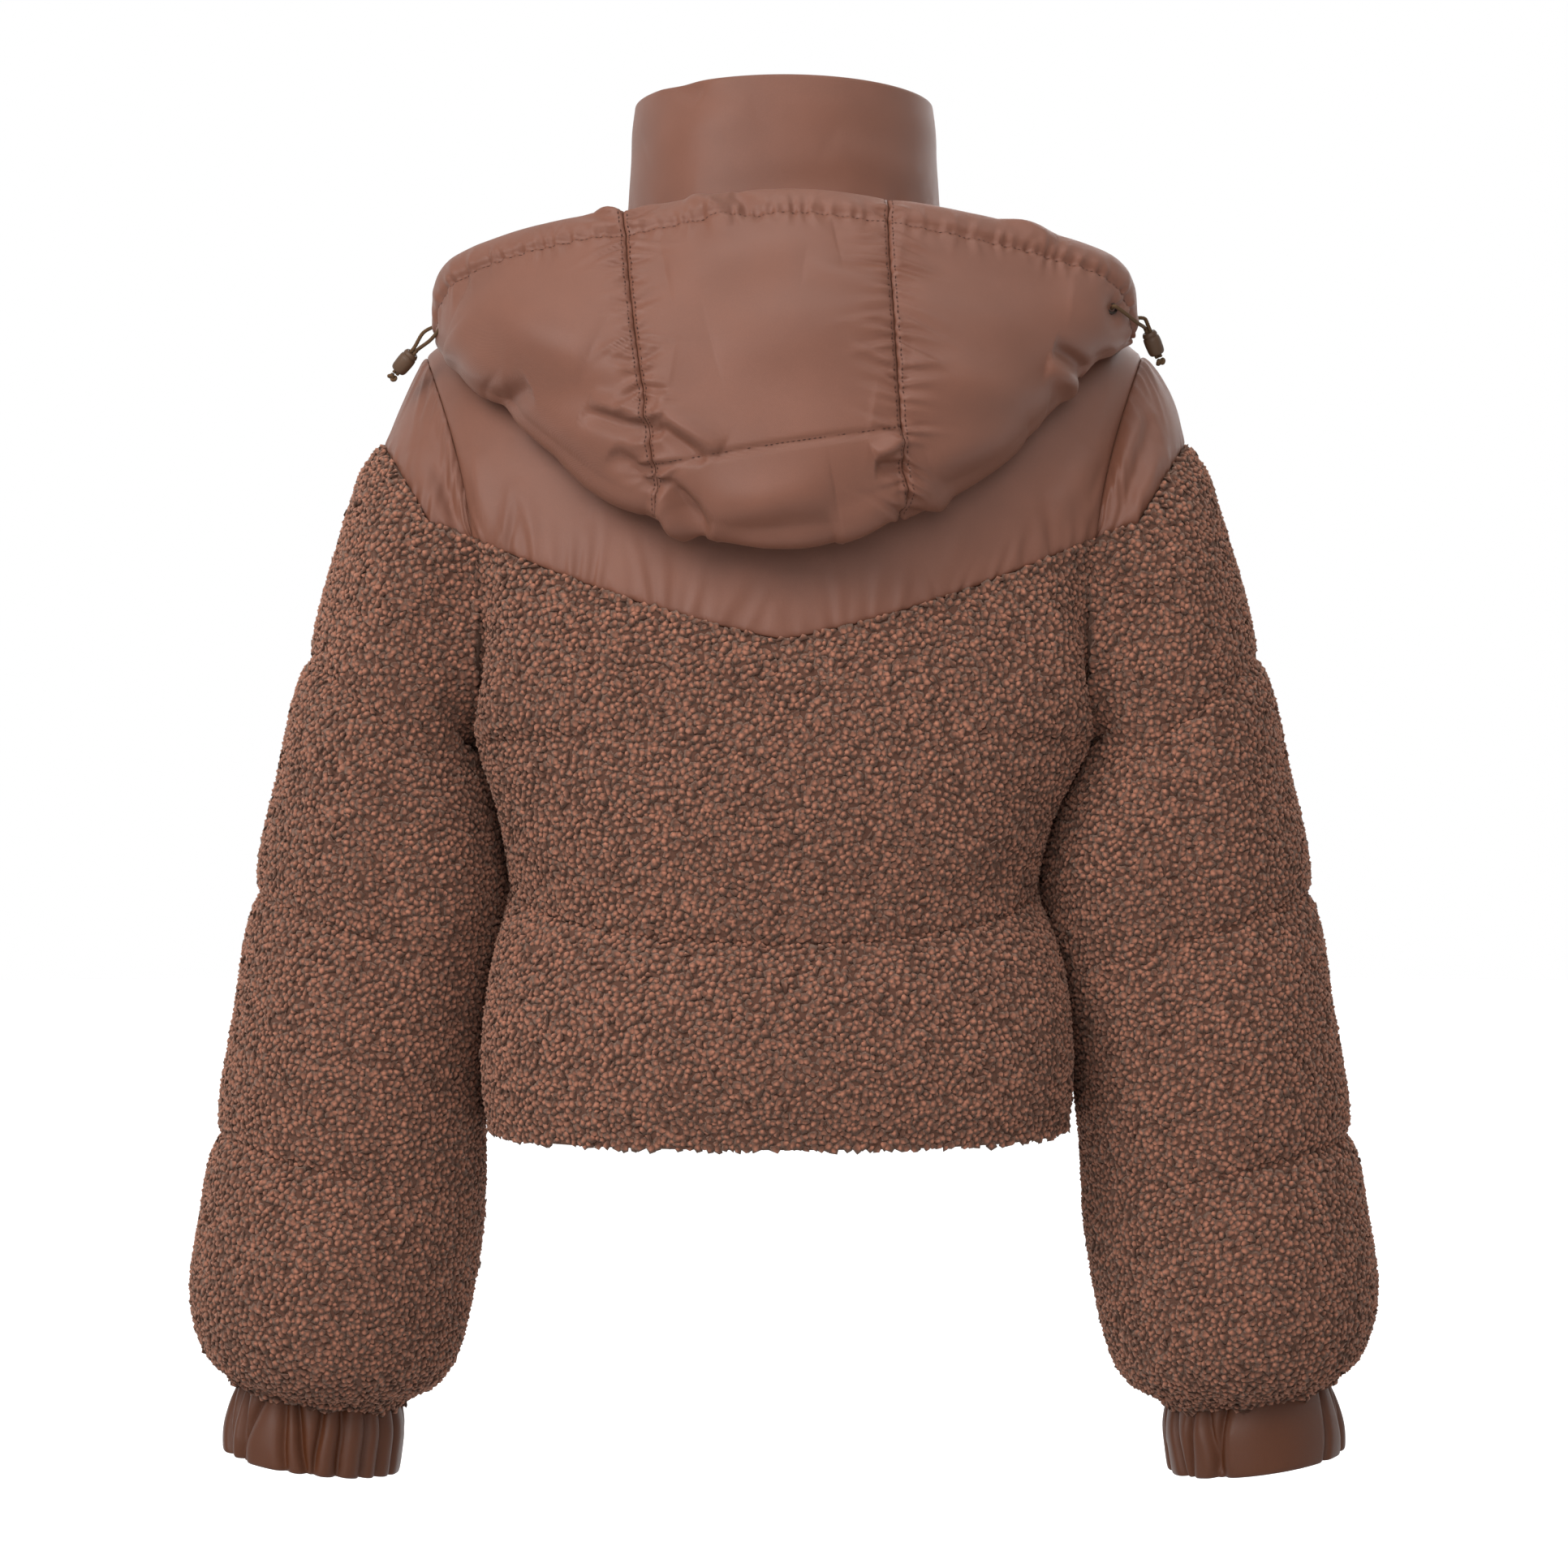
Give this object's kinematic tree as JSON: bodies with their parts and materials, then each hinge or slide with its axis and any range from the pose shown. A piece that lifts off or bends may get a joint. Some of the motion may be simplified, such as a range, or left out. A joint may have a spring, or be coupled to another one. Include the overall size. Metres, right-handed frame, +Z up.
{
  "type": "puffer jacket",
  "caption": "Cropped hooded puffer jacket, zipped and filled out as worn: pile body and sleeves, smooth nylon yoke, caps, collar, hood and gathered cuffs.",
  "frame": {"origin": "the middle of the neck's base, level with the tops of the shoulders, where the wearer carries the jacket", "axes": "+Z up, +X to the picture's right in the back view, the back facing -Y and the zip facing +Y"},
  "size_m": [0.7118, 0.3173, 0.8171],
  "materials": {
    "teddy": "curled brown pile",
    "nylon": "smooth brown nylon with a soft sheen",
    "cuff_nylon": "darker brown nylon, gathered",
    "cord": "braided cord",
    "lock_plastic": "matte brown",
    "dark_metal": "dark plated",
    "zip_tape": "woven tape",
    "zip_plastic": "moulded coil"
  },
  "bodies": {
    "root": {"back_body": "teddy", "front_left_body": "teddy", "front_right_body": "teddy", "sleeve_left": "teddy", "sleeve_right": "teddy", "back_yoke": "nylon", "front_left_yoke": "nylon", "front_right_yoke": "nylon", "sleeve_cap_left": "nylon", "sleeve_cap_right": "nylon", "collar": "nylon", "hood_left": "nylon", "hood_centre": "nylon", "hood_right": "nylon", "cuff_left": "cuff_nylon", "cuff_right": "cuff_nylon", "eyelet_left": "dark_metal", "eyelet_right": "dark_metal", "drawcord_left_a": "cord", "drawcord_left_b": "cord", "drawcord_right_a": "cord", "drawcord_right_b": "cord", "cord_knot_left": "cord", "cord_knot_right": "cord", "cord_lock_left": "lock_plastic", "cord_lock_right": "lock_plastic", "zip_tape_left": "zip_tape", "zip_tape_right": "zip_tape", "zip_coil": "zip_plastic", "zip_slider": "dark_metal"},
    "zip_pull": {"zip_pull": "dark_metal"}
  },
  "joints": [
    {"name": "pull_tab_swing", "type": "hinge", "parent": "root", "child": "zip_pull", "pos_m": [0, 0.0803, 0.0655], "axis": [1, 0, 0], "range_deg": [0, 150]}
  ]
}
